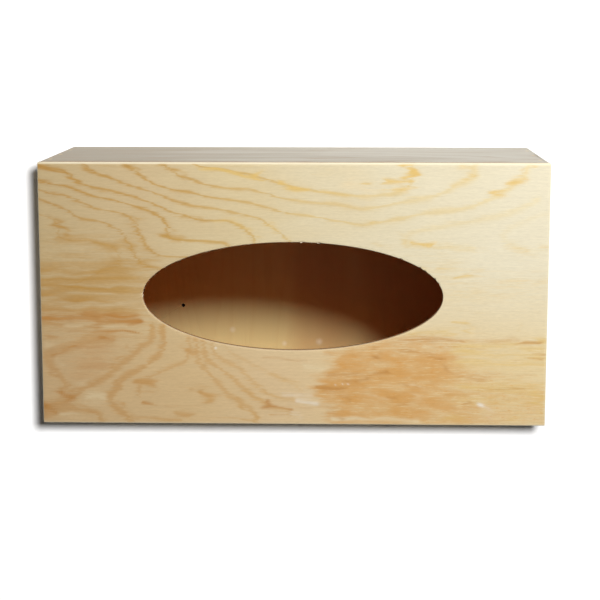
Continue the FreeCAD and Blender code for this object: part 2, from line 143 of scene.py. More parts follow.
# Marks on the top veneer, by kind: how strong each is, its half width and points along it.
MARKS = {"amber": (
    # Back left
    (0.8, 1.3, ((-129, 66), (-121, 64.3), (-116, 62.5), (-111, 58.8), (-107.5, 56.8))),
    (0.7, 1.1, ((-107, 66), (-103, 63), (-98, 61.3), (-91, 59.5))),
    (0.7, 1.6, ((-86, 66), (-80, 63.5), (-77.5, 60.8))), (0.6, 1.7, ((-66, 66), (-60, 63.5), (-56, 61))),
    (0.6, 1, ((-130, 59), (-122, 57))), (0.5, 0.9, ((-130, 54), (-124, 51.8))),
    (0.7, 1.3, ((-130, 41), (-122, 38))), (0.7, 2.3, ((-120, 37), (-119.5, 32))),
    (0.45, 2.5, ((-120, 29), (-108, 28), (-98, 26.5), (-90, 24))),
    (0.4, 2.5, ((-88, 19), (-90, 15.5), (-97, 13), (-103, 10))), (0.5, 1.5, ((-130, 4.5), (-120, 5))),
    (0.35, 2.4, ((-84, 28), (-81.5, 21))), (0.45, 2.1, ((-81, 39), (-79, 33), (-77, 29))),
    (0.4, 2, ((-76, 27), (-73.5, 22))), (0.35, 3, ((-78, 17.5), (-72, 15))),
    (0.4, 2, ((-67, 39), (-63, 35), (-64, 32))), (0.8, 1.7, ((-65, 31), (-62, 29.5), (-58, 28.6))),
    (0.45, 1.6, ((-57, 40.3), (-47, 38.8))), (0.72, 24, ((-130, 2), (-92, 2))),
    (0.35, 0.35, ((-128, 66.2), (0, 66.3), (128, 66.4))),
    # Front left
    (0.5, 1.6, ((-130, -15.5), (-122, -16))), (0.6, 1.5, ((-129, -22), (-124, -21.6))),
    (0.5, 1.3, ((-126, -40.5), (-121, -43), (-118.5, -47), (-118, -51))),
    (0.6, 1.3, ((-112, -57.5), (-106, -61), (-101, -62.5), (-99, -65.5))),
    (0.45, 1.4, ((-82, -27), (-87, -33.5), (-93, -39), (-99, -44), (-107, -48.8), (-114, -51))),
    (0.5, 1.5, ((-89, -44), (-91.5, -49), (-95, -53), (-94.5, -56), (-90, -59), (-87, -62), (-83, -66))),
    (0.9, 2.6, ((-77, -45.5), (-72, -47.5))), (0.4, 1, ((-78, -51.5), (-75, -51.8))),
    (0.7, 1.3, ((-56, -49.5), (-47, -48.8))), (0.9, 2.8, ((-47, -51.5), (-42, -55.5))),
    (0.8, 2.2, ((-56, -29), (-53.5, -31))), (0.8, 1.6, ((-60, -62.3), (-51, -63.5))),
    (0.5, 1.3, ((-86, -64.5), (-72, -65.5), (-58, -66))),
    # Front middle
    (0.6, 1.4, ((-31, -54.5), (-24, -58.5), (-20, -62), (-19, -66))),
    (0.45, 1.2, ((-28, -47.5), (-22, -52), (-17, -55.5))),
    (0.4, 1, ((-19, -47), (-13, -51.5), (-8, -53.5))), (0.35, 2, ((-10, -41), (-6, -44), (0, -46))),
    (0.5, 0.5, ((-46, -64.6), (-20, -65.6))),
), "gold": (
    # Back middle and right
    (0.7, 1.3, ((-46, 65.6), (-30, 63), (-18, 60.5))), (0.8, 1.6, ((-18, 61), (-16, 59.3))),
    (0.6, 1.5, ((-8, 57.6), (0, 55.2), (6, 54.2))), (0.45, 0.9, ((12, 53.3), (27, 51.8))),
    (0.35, 2.2, ((-12, 36.5), (-6, 31.5), (-3, 29))),
    (0.35, 2, ((-40, 38), (-30, 37.8), (-24, 34), (-19.5, 29))), (0.3, 0.9, ((14, 65), (17, 64.6))),
    (0.3, 0.8, ((13, 62), (17, 62))), (0.45, 1.5, ((38, 58), (41, 57.6))),
    (0.35, 2.2, ((42, 54.5), (47, 54))), (0.85, 2.6, ((58, 67), (59.5, 62))),
    (0.75, 1.3, ((47, 58.6), (60, 58.4))), (0.6, 2.2, ((50, 53.8), (57, 54.5))),
    (0.5, 1.8, ((80, 56), (86, 58), (90, 61))), (0.35, 2, ((86, 66), (90, 64))),
    (0.6, 2, ((103, 51.5), (107, 54), (112, 57.5))), (0.55, 2.2, ((115, 60), (117.5, 63), (118.5, 67))),
    (0.4, 1.2, ((40, 37), (55, 39.6))), (0.3, 2.4, ((56, 27), (56.5, 31))),
    (0.65, 1.2, ((61, 27), (66, 26), (71, 25.8))), (0.3, 1.4, ((78, 24.6), (87, 24.6))),
    (0.2, 1.6, ((90, 24), (101, 24))), (0.55, 1.8, ((109, 26), (114, 24.3), (121, 23.2))),
    (0.45, 1.4, ((126, 25.5), (130, 25))), (0.35, 1.3, ((85, 10), (91, 11.5), (97, 13.3))),
    (0.25, 1.2, ((72, 14.8), (82, 14.6))), (0.2, 1.5, ((108, 8), (116, 7.6))),
    (0.2, 1.5, ((124, 7), (130, 7))), (0.25, 3, ((42, 26), (55, 21), (66, 15))),
    (0.22, 16, ((82, 4), (124, 4))), (0.2, 7, ((70, 20), (84, 14))),
    # Front right
    (0.5, 3.5, ((84, -27), (126, -26.5))), (0.5, 1.2, ((122, -23), (130, -22.6))),
    (0.45, 1.3, ((84, -13.6), (89, -13.8))), (0.3, 1.5, ((88, -15.5), (91, -18.5))),
    (0.3, 1.5, ((116, -15), (118, -19))), (0.35, 3, ((62, -20), (80, -19))),
    (0.45, 7, ((90, -32), (128, -33))), (0.45, 7, ((88, -50), (126, -51))),
    (0.6, 2, ((81, -64), (92, -65))), (0.6, 2.2, ((112, -64), (117, -62.5))),
    (0.5, 2.4, ((126, -53), (128, -59))),
), "pale": (
    # Back middle and right
    (0.5, 5, ((31, 58), (35, 55))),
    # Front left
    (0.6, 1.1, ((-121, -16.6), (-108, -16.2))), (0.6, 1.1, ((-98, -16.8), (-84, -16.6))),
    (0.4, 3, ((-128, -26), (-124, -27))), (0.35, 2.6, ((-124, -34), (-122, -36))),
    (0.4, 2.4, ((-113, -47.3), (-107, -46))), (0.5, 4, ((-106, -55), (-99, -54))),
    (0.45, 2.4, ((-120, -63), (-112, -64))),
    # Front middle
    (0.55, 3, ((8, -36), (16, -38))),
    # Front right
    (0.5, 1.6, ((88, -25.6), (112, -26.2))), (0.45, 4.5, ((88, -32.5), (105, -34), (128, -36))),
    (0.5, 1.8, ((118, -43.5), (129, -43))), (0.45, 3, ((63, -47), (66, -54))),
    (0.3, 3, ((42, -52), (48, -54))), (0.7, 1.8, ((22, -64.5), (40, -65.3), (66, -65.5))),
), "rust": (
    # Front left
    (0.85, 2.8, ((-128, -12.2), (-115, -12), (-103, -12.5), (-90, -12.4), (-79, -13.3))),
    (0.6, 2.6, ((-103.5, -11), (-102, -15.5))), (0.55, 0.7, ((-128, -19.3), (-105, -19.2), (-80, -19.5))),
    (0.45, 1.4, ((-128, -32.5), (-121, -29.8), (-112, -27), (-104, -24.5), (-97, -22.6))),
    (0.45, 1, ((-100, -21.5), (-92, -24.3))), (0.6, 3, ((-119, -52.5), (-115, -55.5))),
    (0.7, 2.2, ((-129, -58.6), (-123, -60.8))), (0.8, 0.9, ((-76, -57), (-70.5, -57.3))),
    # Front middle
    (0.8, 1.2, ((-16, -55.5), (-12, -58.3), (-5, -60))), (0.6, 0.4, ((-11, -63.1), (-3, -63.1))),
    # Front right
    (0.5, 0.6, ((17.5, -30.7), (22, -30.7))), (0.5, 1.4, ((14, -48), (19, -49), (30, -48.5))),
    (0.5, 1.2, ((28, -44.3), (35, -44.2))), (0.4, 1.2, ((22, -41.3), (34, -41))),
    (0.35, 2, ((25, -53.5), (28, -55))), (0.35, 1, ((14, -59.3), (24, -58.6))),
    (0.35, 1.5, ((16, -61), (24, -63), (28, -65))), (0.55, 2.4, ((41, -27), (42, -34))),
    (0.6, 1.8, ((36, -44), (43, -41.5), (48, -40.6))), (0.4, 1, ((56, -45), (60, -47), (58, -50))),
    (0.4, 1, ((50, -52.5), (54, -53.5))), (0.4, 1.2, ((58, -56), (63, -56.4))),
    (0.5, 1.7, ((52, -27.5), (60, -28.5), (68, -31), (76, -33.5))),
    (0.5, 1.5, ((80, -37.5), (84, -41.5), (92, -43), (101, -42.8))),
    (0.4, 0.7, ((95, -41), (124, -41.2))), (0.35, 0.6, ((124, -39), (130, -39))),
    (0.5, 1.4, ((90, -55.5), (93, -57))), (0.4, 1, ((80, -51.5), (98, -51.5))),
    (0.4, 0.8, ((104, -53.5), (109, -54))), (0.3, 0.9, ((98, -48.5), (118, -48.2))),
    (0.5, 1, ((55, -23.2), (75, -21.8), (86, -23.2))), (0.5, 1.5, ((115, -24.3), (123, -24.6))),
    (0.45, 0.6, ((80, -26.3), (87, -26.3))), (0.5, 0.6, ((92, -26.9), (96, -26.9))),
    (0.55, 0.7, ((98, -27), (102, -27))), (0.4, 0.8, ((121, -29), (130, -30))),
    (0.4, 0.8, ((119, -32), (130, -32.2))), (0.35, 0.7, ((115, -33.5), (118, -33.3))),
), "blush": (
    # Front left
    (0.55, 9, ((-106, -30), (-96, -27))), (0.55, 8, ((-110, -42), (-98, -36))),
    (0.5, 0.8, ((-68, -58.5), (-45, -58.3))),
    # Front middle
    (0.5, 0.8, ((-10, -58.5), (13, -59))), (0.4, 1, ((-14, -33), (0, -33.5), (10, -34))),
    # Front right
    (0.45, 2.4, ((52, -23.3), (70, -22.4), (85, -22.8), (112, -23.3))),
), "white": (
    # Front middle
    (0.4, 1.8, ((-5, -51.5), (9, -51.5))), (0.45, 1.6, ((2, -55.5), (12, -56.8))),
    (0.35, 1.6, ((-1, -62), (4, -63.5))), (0.8, 0.6, ((-40, -27.4), (-39.8, -27.8))),
    # Front right
    (0.45, 0.5, ((21.6, -46.8), (22, -46.8))), (0.45, 0.5, ((25.2, -46.2), (25.6, -46.4))),
    (0.45, 0.5, ((28, -46.4), (28.6, -46.4))), (0.8, 1.2, ((96, -56.8), (97.5, -57.4))),
    (0.4, 1.3, ((100, -58.5), (103, -60.5))), (0.3, 1.6, ((100, -62), (102, -64))),
)}

# The streaky orange part of the top veneer: its outline, how soft its edge is and how strong it is inside.
RESIN_OUTLINE = ((18, -28), (40, -23), (52, -22.5), (78, -21.5), (86, -26), (96, -38), (112, -42),
                 (135, -46), (135, -70), (20, -70), (17, -61), (13, -55), (12, -48), (13, -43), (20, -36))
RESIN_EDGE = 5.0
RESIN_LEVEL = 0.8

# The old nail hole in the bottom: where it is and its radius.
NAIL_HOLE = (-66.6, -22.5)
NAIL_HOLE_RADIUS = 1.0

# Longer splinters on the rim: their places, how far they turn from X and their lengths.
LONG_SPLINTERS = (
    (4.6, 27.3, 0.3, 1.7),
    (12.9, 26.8, -0.2, 1.4),
    (-77.2, -0.6, 1.2, 1.3),
)

# Chips along the rim of the oval, as places on it, with their half width and depth.
RIM_CHIPS = (
    (4.6, 27.5, 1.6, 0.35),
    (13.2, 27.0, 1.4, 0.35),
    (-77.0, 0.5, 1.0, 0.4),
    (55.0, 18.8, 0.9, 0.4),
    (64.7, 14.2, 0.8, 0.4),
    (67.2, 12.6, 0.8, 0.35),
    (72.4, 8.6, 0.9, 0.4),
    (73.9, 6.1, 0.8, 0.35),
)

# Colours of the wood, 0 to 255: light, middling and in the rings, or ply by ply. Some also carry painted
# light and shade, as said at each.
WARM_PINE = ((210, 195, 164), (198, 178, 143), (172, 140, 102))
# The back board's grey is painted cool light on that side: it is the same pine as the front and the ends.
COOL_LIT_PINE = ((181, 176, 162), (152, 142, 123), (154, 131, 106))
# The red of the inside and the underside is partly the wood and partly painted shade: it gives the shade
# inside the box its red-brown cast.
RED_INSIDE = ((238, 162, 94), (232, 154, 88), (216, 134, 70))
RED_UNDERSIDE = ((250, 164, 84), (247, 158, 80), (236, 144, 70))
BOTTOM_PINE = ((218, 200, 140), (200, 169, 115), (206, 178, 121))
# The nail hole's colour is painted shade: its walls and bottom are made dark.
HOLE_SHADE = ((46, 26, 14), (38, 20, 10), (28, 14, 7))
TORN_PINE = ((242, 230, 204), (236, 220, 190), (224, 200, 160))
TOP_PLIES = ((140, 92, 56), (204, 176, 134), (236, 216, 176))
LONG_PLY = (216, 196, 158)
CROSS_PLY = (188, 154, 108)
GLUE = (128, 92, 58)

# Pale flecks on the bottom: a place and a radius each.
BOTTOM_FLECKS = (((-38.3, -36.7, 9), 1.5), ((11.6, -43.5, 9), 1.7), ((-8.4, -44.6, 9), 1.3))

# Light, in metres: the lamp that lights the box, the one that lights the paper alone, and the white sky.
KEY_DIRECTION = (0.331, 0.505, 0.797)
KEY_TARGET = (0, 0, 0.11)
KEY_DISTANCE = 0.8
KEY_WIDTH = 0.19
KEY_LEVEL = 0.94
PAPER_LAMP = (0.067, 0.166, 0.94)
PAPER_LAMP_DISTANCE = 0.957
PAPER_LAMP_RADIUS = 0.026
PAPER_LAMP_LEVEL = 1.4
SKY_LEVEL = 0.04

# The paper: how far from its lamp's foot it starts to look white by itself and where it does so wholly,
# and half its width, in metres.
PAPER_LIT = (400, 900)
PAPER_HALF = 4.0

# The camera: lens and film width in millimetres, its place, where it looks and what lies to its right.
LENS = 98.66
FILM_WIDTH = 36.0
CAMERA_PLACE = (28.41, 135.23, 939.83)
CAMERA_LOOK = (-0.02955, -0.16363, -0.98608)
CAMERA_RIGHT = (0.99955, -0.00007, -0.02995)


def srgb(red, green, blue):
    """A colour given as 0 to 255, made linear for a shader."""
    linear = []
    for value in (red, green, blue):
        share = value / 255
        linear.append(share / 12.92 if share <= 0.04045 else ((share + 0.055) / 1.055) ** 2.4)
    return (*linear, 1.0)


# Drawing the figure of the top


def points_along(points, step):
    """Points every step or less along a drawn line."""
    found = []
    for start, end in zip(points[:-1], points[1:]):
        start, end = np.array(start, float), np.array(end, float)
        count = max(1, int(np.hypot(*(end - start)) // step))
        for number in range(count):
            found.append(start + (end - start) * number / count)
    found.append(np.array(points[-1], float))
    return found


def ring_field():
    """Gives a function that reads a smooth field, which comes to each line's ring number all along it."""
    step, unit, stiffness = 4.0, 100.0, 0.0005
    known, numbers = [], []
    for number, _, _, points in RING_LINES:
        spots = points_along(points, step)
        known += spots
        numbers += [number] * len(spots)
    for number, places in RING_GUIDES:
        known += [np.array(place, float) for place in places]
        numbers += [number] * len(places)
    known = np.array(known) / unit
    count = len(known)

    def bend(places):
        apart = ((places[:, None, :] - known[None, :, :]) ** 2).sum(-1)
        return apart * np.log(apart + 1e-9) / 2

    system = np.zeros((count + 3, count + 3))
    system[:count, :count] = bend(known) + np.eye(count) * stiffness
    system[:count, count] = 1
    system[:count, count + 1:] = known
    system[count:, :count] = system[:count, count:].T
    weights = np.linalg.solve(system, np.concatenate([numbers, np.zeros(3)]))

    def read(places):
        parts = []
        for part in np.array_split(places / unit, max(1, len(places) // 4000)):
            parts.append(bend(part) @ weights[:count] + weights[count] + part @ weights[count + 1:])
        return np.concatenate(parts)

    return read


def distance_to_line(places, points):
    """How far each place is from a drawn line."""
    nearest = np.full(len(places), np.inf)
    for start, end in zip(points[:-1], points[1:]):
        start, run = np.array(start, float), np.array(end, float) - np.array(start, float)
        share = np.clip((places - start) @ run / (run @ run), 0, 1)
        nearest = np.minimum(nearest, np.hypot(*(places - start - share[:, None] * run).T))
    return nearest


def fibre_noise(places, along, across, seed):
    """Numbers of 0 to 1 that change over one length along X and a much shorter one across it."""
    table = np.random.default_rng(seed).random((128, 512))
    spots = places / (along, across) + (50, 200)
    cell = np.floor(spots).astype(int)
    x, y = (spots - cell).T
    x, y = x * x * (3 - 2 * x), y * y * (3 - 2 * y)
    i, j = cell.T
    near = table[i, j] * (1 - x) + table[i + 1, j] * x
    far = table[i, j + 1] * (1 - x) + table[i + 1, j + 1] * x
    return near * (1 - y) + far * y


def along_fibres(places, reach, seed):
    """The places pushed to and fro along X, fibre by fibre, so that what is drawn there gets torn ends."""
    push = fibre_noise(places, 30, 1.5, seed) + fibre_noise(places, 9, 2.3, seed + 1) - 1
    sway = fibre_noise(places, 8, 4, seed + 2) - 0.5
    return places + np.column_stack([push * reach, sway * 1.5])


def marks_of(kind, places):
    """How much of one kind of mark lies at each place, 0 to 1."""
    clear = np.ones(len(places))
    streaks = 0.35 + 1.3 * fibre_noise(places, 22, 1.6, 7)
    for strength, half_width, points in MARKS[kind]:
        cover = np.exp(-np.abs(distance_to_line(places, points) / half_width) ** 1.6)
        clear *= 1 - np.minimum(strength * cover * streaks, 1)
    return 1 - clear


def inside_softly(places, outline, edge):
    """1 well inside a drawn outline, 0 well outside, and between the two across its edge."""
    x, y = places.T
    inside = np.zeros(len(places), bool)
    for (x0, y0), (x1, y1) in zip(outline, outline[1:] + outline[:1]):
        crosses = (y0 > y) != (y1 > y)
        if y0 != y1:
            inside ^= crosses & (x < x0 + (y - y0) * (x1 - x0) / (y1 - y0))
    away = distance_to_line(places, outline + outline[:1])
    return np.clip(0.5 + np.where(inside, away, -away) / (2 * edge), 0, 1)


def keep_on_vertices(mesh, name, values):
    """Stores one number at each vertex, for a finish to read."""
    layer = mesh.attributes.new(name, "FLOAT", "POINT")
    layer.data.foreach_set("value", np.asarray(values, np.float32))


def draw_figure(mesh):
    """Puts the rings and the marks of the top veneer on the mesh."""
    corners = np.zeros(len(mesh.vertices) * 3, np.float32)
    mesh.vertices.foreach_get("co", corners)
    corners = corners.reshape(-1, 3).astype(float) / MM
    places = corners[:, :2]
    read = ring_field()
    keep_on_vertices(mesh, "ring", read(places))
    slope_x = read(places + (0.5, 0)) - read(places - (0.5, 0))
    slope_y = read(places + (0, 0.5)) - read(places - (0, 0.5))
    keep_on_vertices(mesh, "ring_slope", slope_x)
    keep_on_vertices(mesh, "ring_gap", 1 / np.maximum(np.hypot(slope_x, slope_y), 0.04))
    shows, wide = np.zeros(len(places)), np.full(len(places), 0.01)
    for _, strength, half_width, points in RING_LINES:
        near = np.exp(-(distance_to_line(places, points) / 4.5) ** 4)
        shows = np.maximum(shows, strength * near)
        wide = np.maximum(wide, half_width * near)
    keep_on_vertices(mesh, "ring_shows", shows)
    keep_on_vertices(mesh, "ring_width", np.maximum(wide, 0.4))
    torn = along_fibres(places, 6.5, 11)
    for kind in ("amber", "rust", "gold", "blush", "pale"):
        keep_on_vertices(mesh, kind, marks_of(kind, torn))
    keep_on_vertices(mesh, "white", marks_of("white", places))
    keep_on_vertices(mesh, "resin", RESIN_LEVEL * inside_softly(torn, RESIN_OUTLINE, RESIN_EDGE))
    low, high = (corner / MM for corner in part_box("top_panel"))
    # How far in the pale edge band reaches: partly sanding, partly a painted highlight.
    sanded = np.zeros(len(places))
    for to_edge, width in ((high.y - places[:, 1], SANDED_AND_LIT_BACK), (high.x - places[:, 0], SANDED_AND_LIT_RIGHT),
                           (places[:, 0] - low.x, SANDED_AND_LIT_LEFT), (places[:, 1] - low.y, SANDED_AND_LIT_FRONT)):
        sanded = np.maximum(sanded, np.clip((width - to_edge) / 0.4, 0, 1))
    keep_on_vertices(mesh, "sanded", sanded)


# Finishes


class Finish:
    """A material in the making. Each call adds a node and gives back the socket that the next one reads."""

    def __init__(self, name, specular):
        self.material = bpy.data.materials.new(name)
        self.material.use_nodes = True
        self.tree = self.material.node_tree
        self.tree.nodes.clear()
        self.shader = self.add("ShaderNodeBsdfPrincipled", {"Specular IOR Level": specular})
        self.add("ShaderNodeOutputMaterial", {"Surface": self.shader.outputs["BSDF"]})

    def add(self, kind, inputs=None, **settings):
        node = self.tree.nodes.new(kind)
        for name, value in settings.items():
            setattr(node, name, value)
        for name, value in (inputs or {}).items():
            self.feed(node.inputs[name], value)
        return node

    def feed(self, socket, value):
        if isinstance(value, bpy.types.NodeSocket):
            self.tree.links.new(value, socket)
        else:
            socket.default_value = value

    def attribute(self, name):
        return self.add("ShaderNodeAttribute", attribute_name=name).outputs["Fac"]

    def place(self):
        """Where a point of the piece is, in millimetres."""
        where = self.add("ShaderNodeTexCoord").outputs["Object"]
        return self.vector("SCALE", where, Scale=1 / MM)

    def vector(self, operation, first, second=None, **named):
        node = self.add("ShaderNodeVectorMath", operation=operation)
        self.feed(node.inputs[0], first)
        if second is not None:
            self.feed(node.inputs[1], second)
        for name, value in named.items():
            self.feed(node.inputs[name], value)
        return node.outputs["Value" if operation == "LENGTH" else "Vector"]

    def math(self, operation, first, second=0.5, third=0.5, clamp=False):
        node = self.add("ShaderNodeMath", operation=operation, use_clamp=clamp)
        for number, value in enumerate((first, second, third)):
            self.feed(node.inputs[number], value)
        return node.outputs["Value"]

    def split(self, vector):
        return self.add("ShaderNodeSeparateXYZ", {"Vector": vector}).outputs

    def noise(self, where, stretch, detail=2.0, roughness=0.5):
        """Noise that is stretch cells to the millimetre along each axis."""
        stretched = self.vector("MULTIPLY", where, stretch)
        node = self.add("ShaderNodeTexNoise", {"Vector": stretched, "Scale": 1.0, "Detail": detail,
                                               "Roughness": roughness})
        return node.outputs["Fac"]

    def spread(self, value, low, high, to_low=0.0, to_high=1.0):
        """Runs smoothly from to_low to to_high as the value goes from low to high."""
        node = self.add("ShaderNodeMapRange", {"Value": value, "From Min": low, "From Max": high,
                                               "To Min": to_low, "To Max": to_high},
                        interpolation_type="SMOOTHSTEP")
        return node.outputs["Result"]

    def ramp(self, value, stops):
        """A colour for each value between 0 and 1: stops are a place and a colour each."""
        node = self.add("ShaderNodeValToRGB", {"Fac": value})
        band = node.color_ramp
        while len(band.elements) < len(stops):
            band.elements.new(1.0)
        for element, (place, colour) in zip(band.elements, stops):
            element.position = place
            element.color = colour
        return node.outputs["Color"]

    def blend(self, share, first, second):
        node = self.add("ShaderNodeMix", data_type="RGBA")
        self.feed(node.inputs[0], share)
        self.feed(node.inputs[6], first)
        self.feed(node.inputs[7], second)
        return node.outputs[2]

    def shade(self, colour, value):
        """The colour, lighter or darker by a number."""
        return self.vector("SCALE", colour, Scale=value)

    def done(self, colour, roughness, height, depth):
        """Puts the colour, the roughness and the relief, depth millimetres of it, on the shader."""
        bump = self.add("ShaderNodeBump", {"Height": height, "Strength": 0.6, "Distance": depth * MM})
        self.feed(self.shader.inputs["Base Color"], colour)
        self.feed(self.shader.inputs["Roughness"], roughness)
        self.feed(self.shader.inputs["Normal"], bump.outputs["Normal"])
        return self.material


def grey(value):
    return (value, value, value, 1.0)


def make_figured_veneer():
    """The face of the top: rings, resin and marks as drawn, with fibre along X."""
    finish = Finish("figured_pine_veneer", specular=0.3)
    place = finish.place()
    x, y, _ = finish.split(place)
    fibre = finish.noise(place, (0.05, 0.9, 0.3), detail=5, roughness=0.65)
    fine_fibre = finish.noise(place, (0.3, 1.6, 0.6), detail=3, roughness=0.65)
    dash = finish.noise(place, (0.11, 1.3, 0.2), detail=4, roughness=0.65)
    cloud = finish.noise(place, (0.022, 0.05, 0.05), detail=2)
    patch = finish.noise(place, (0.06, 0.16, 0.1), detail=3)

    def torn(share):
        """A share of 0 to 1 broken up by the fibres: whole where strong, in dashes where weak."""
        cover = finish.math("MULTIPLY_ADD", share, 0.5, dash)
        return finish.math("MULTIPLY", share, finish.spread(cover, 0.45, 0.85), clamp=True)

    # Fibres drag a line along X where it runs across them.
    drag = finish.math("MULTIPLY_ADD", fibre, 8.0, finish.math("MULTIPLY_ADD", dash, 7.0, -7.5))
    ring = finish.math("MULTIPLY_ADD", drag, finish.attribute("ring_slope"), finish.attribute("ring"))
    turn = finish.math("SUBTRACT", finish.math("FRACT", finish.math("ADD", ring, 0.5)), 0.5)
    offset = finish.math("MULTIPLY", turn, finish.attribute("ring_gap"))
    width = finish.math("MULTIPLY", finish.attribute("ring_width"),
                        finish.spread(patch, 0.3, 0.7, 0.35, 1.3))
    width = finish.math("MULTIPLY", width, finish.spread(x, -10, 80, 1.0, 2.5))
    reach = finish.math("MULTIPLY_ADD", finish.math("DIVIDE", offset, width), 0.125, 0.5)
    line = finish.ramp(reach, ((0.0, grey(0)), (0.28, grey(0.2)), (0.40, grey(0.5)), (0.48, grey(1)),
                               (0.53, grey(0.9)), (0.60, grey(0.35)), (0.72, grey(0.1)), (0.88, grey(0))))
    line = finish.math("MULTIPLY", torn(finish.math("MULTIPLY", line, finish.attribute("ring_shows"))),
                       finish.spread(x, -50, 60, 1.0, 0.58))
    line = finish.math("MULTIPLY", line, finish.spread(y, -30, 0, 0.8, 1.0))

    # The wood between the rings gets paler to the right and browner to the front.
    along = finish.math("MULTIPLY_ADD", cloud, 0.3, finish.math("MULTIPLY_ADD", x, 1 / 270, 0.35))
    back_ground = finish.ramp(along, ((0.0, srgb(198, 174, 130)), (0.2, srgb(205, 181, 138)),
                                      (0.42, srgb(214, 195, 153)), (0.66, srgb(219, 207, 175)),
                                      (0.9, srgb(223, 213, 185))))
    front_ground = finish.ramp(along, ((0.0, srgb(202, 170, 125)), (0.31, srgb(214, 184, 136)),
                                       (0.47, srgb(218, 190, 146)), (0.7, srgb(223, 198, 150)),
                                       (1.0, srgb(225, 203, 156))))
    colour = finish.blend(finish.spread(y, -45, 20), front_ground, back_ground)
    back_amber = finish.ramp(along, ((0.0, srgb(184, 141, 76)), (0.3, srgb(192, 151, 82)),
                                     (0.6, srgb(212, 183, 118)), (1.0, srgb(227, 205, 146))))
    front_amber = finish.ramp(along, ((0.0, srgb(190, 144, 88)), (0.3, srgb(201, 157, 98)),
                                      (0.6, srgb(213, 175, 114)), (1.0, srgb(227, 205, 146))))
    amber = finish.blend(finish.spread(y, -25, 5), front_amber, back_amber)
    colour = finish.blend(line, colour, amber)

    # The orange part is mottled, weaker to the right, and full of short dark and pale dashes.
    mottle = finish.math("MULTIPLY", finish.spread(patch, 0.3, 0.65, 0.6, 1.05),
                         finish.spread(x, 60, 110, 1.0, 0.5))
    resin = finish.attribute("resin")
    colour = finish.blend(torn(finish.math("MULTIPLY", resin, mottle)), colour, srgb(208, 151, 76))
    dark_dash = finish.math("MULTIPLY", resin, finish.spread(fine_fibre, 0.54, 0.7, 0.0, 0.7))
    colour = finish.blend(dark_dash, colour, srgb(200, 140, 68))
    pale_dash = finish.math("MULTIPLY", resin, finish.spread(dash, 0.44, 0.3, 0.0, 0.6))
    colour = finish.blend(pale_dash, colour, srgb(232, 204, 148))
    for kind, tint in (("blush", srgb(198, 156, 106)), ("pale", srgb(227, 207, 166)),
                       ("gold", srgb(218, 184, 110)), ("amber", amber),
                       ("rust", srgb(187, 133, 69)), ("white", srgb(236, 226, 208))):
        colour = finish.blend(torn(finish.attribute(kind)), colour, tint)
    tone = finish.math("MULTIPLY_ADD", fine_fibre, 0.26, finish.math("MULTIPLY_ADD", fibre, 0.2, 0.77))
    colour = finish.shade(colour, tone)
    # Pale along the edges: partly sanded wood, partly a painted highlight where the edges catch the light.
    bare_and_lit = finish.math("MULTIPLY", finish.attribute("sanded"), finish.spread(fibre, 0.25, 0.5, 0.6, 0.95))
    colour = finish.blend(bare_and_lit, colour, srgb(234, 223, 193))

    roughness = finish.spread(fibre, 0.3, 0.7, 0.5, 0.62)
    height = finish.math("MULTIPLY_ADD", line, 0.4, finish.math("ADD", fine_fibre, fibre))
    return finish.done(colour, roughness, height, 0.05)


def make_plain_veneer(name, grain, tones, seed, drift=0.0, rings_show=0.45, streaky=1.0, flecks=()):
    """A plain board's face: fibres along one axis, soft rings, a little cloud.

    A positive drift makes it paler towards +X and a negative one darker towards +X: painted light and
    painted shade. Flecks are pale spots, each a place and a radius.
    """
    light, mid, dark = (srgb(*tone) for tone in tones)
    finish = Finish(name, specular=0.3)
    here = finish.place()
    place = finish.vector("ADD", here, (seed * 37.0, seed * 53.0, seed * 71.0))

    def stretch(with_grain, across):
        return tuple(with_grain if axis == grain else across for axis in range(3))

    fibre = finish.noise(place, stretch(0.03, 0.9), detail=4, roughness=0.6)
    fine_fibre = finish.noise(place, stretch(0.09, 3.0), detail=3, roughness=0.6)
    cloud = finish.noise(place, stretch(0.008, 0.03), detail=2)
    rings = finish.noise(place, stretch(0.0025, 0.02), detail=2, roughness=0.4)
    rings = finish.math("MULTIPLY", rings, 24.0)
    turn = finish.math("FRACT", finish.math("MULTIPLY_ADD", fibre, 0.6, rings))
    line = finish.ramp(turn, ((0.0, grey(0)), (0.5, grey(0.12)), (0.78, grey(0.7)), (0.86, grey(1)),
                              (0.93, grey(0.2)), (1.0, grey(0))))
    cloud = finish.math("MULTIPLY_ADD", finish.split(here)[0], -drift, cloud)
    colour = finish.ramp(cloud, ((0.3, light), (0.7, mid)))
    colour = finish.blend(finish.math("MULTIPLY", line, rings_show), colour, dark)
    tone = finish.math("MULTIPLY_ADD", fibre, 0.24 * streaky, 1 - 0.22 * streaky)
    tone = finish.math("MULTIPLY_ADD", fine_fibre, 0.2 * streaky, tone)
    for spot, radius in flecks:
        away = finish.vector("LENGTH", finish.vector("SUBTRACT", here, spot))
        away = finish.math("MULTIPLY_ADD", fine_fibre, radius, away)
        cover = finish.spread(away, 2.2 * radius, 0.4 * radius, 0.0, 0.5)
        colour = finish.blend(cover, colour, srgb(240, 232, 208))
    colour = finish.shade(colour, tone)
    roughness = finish.spread(fibre, 0.3, 0.7, 0.55, 0.68)
    return finish.done(colour, roughness, finish.math("ADD", fine_fibre, fibre), 0.05)


